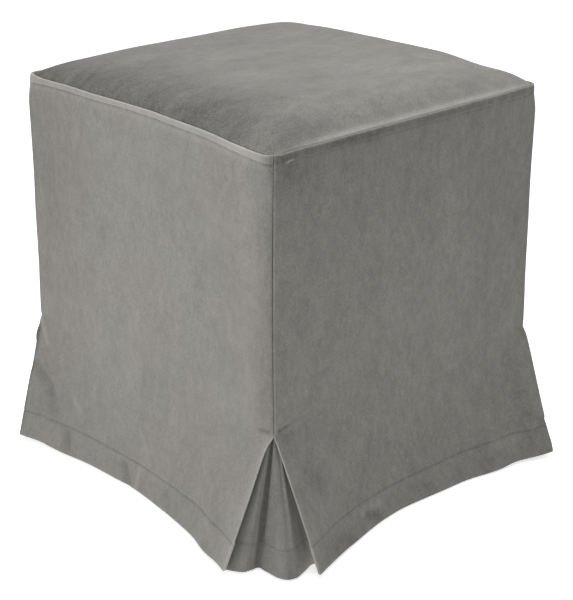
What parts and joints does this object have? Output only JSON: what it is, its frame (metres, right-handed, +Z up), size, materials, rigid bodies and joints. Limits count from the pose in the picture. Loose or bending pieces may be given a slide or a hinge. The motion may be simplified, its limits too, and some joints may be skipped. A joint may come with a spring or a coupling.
{
  "type": "skirted cube pouf stool",
  "caption": "Square filled pouf stool in a fitted grey velvet cover, with a crowned top, a topstitched top edge and a hemmed skirt that opens in a pleat at each corner.",
  "frame": {"origin": "on the floor, under the middle of the filled body", "axes": "+Z up, -Y out of the front side panel, +X out of the right side panel; the picture looks at the corner between them"},
  "size_m": [0.5444, 0.5341, 0.4653],
  "materials": {
    "top_velvet": "brushed velvet",
    "side_velvet": "brushed velvet",
    "pleat_velvet": "brushed velvet"
  },
  "bodies": {
    "root": {"filled_body": "top_velvet", "panel_front": "side_velvet", "panel_right": "side_velvet", "panel_back": "side_velvet", "panel_left": "side_velvet", "pleat_front_right": "pleat_velvet", "pleat_back_right": "pleat_velvet", "pleat_back_left": "pleat_velvet", "pleat_front_left": "pleat_velvet"}
  },
  "joints": []
}
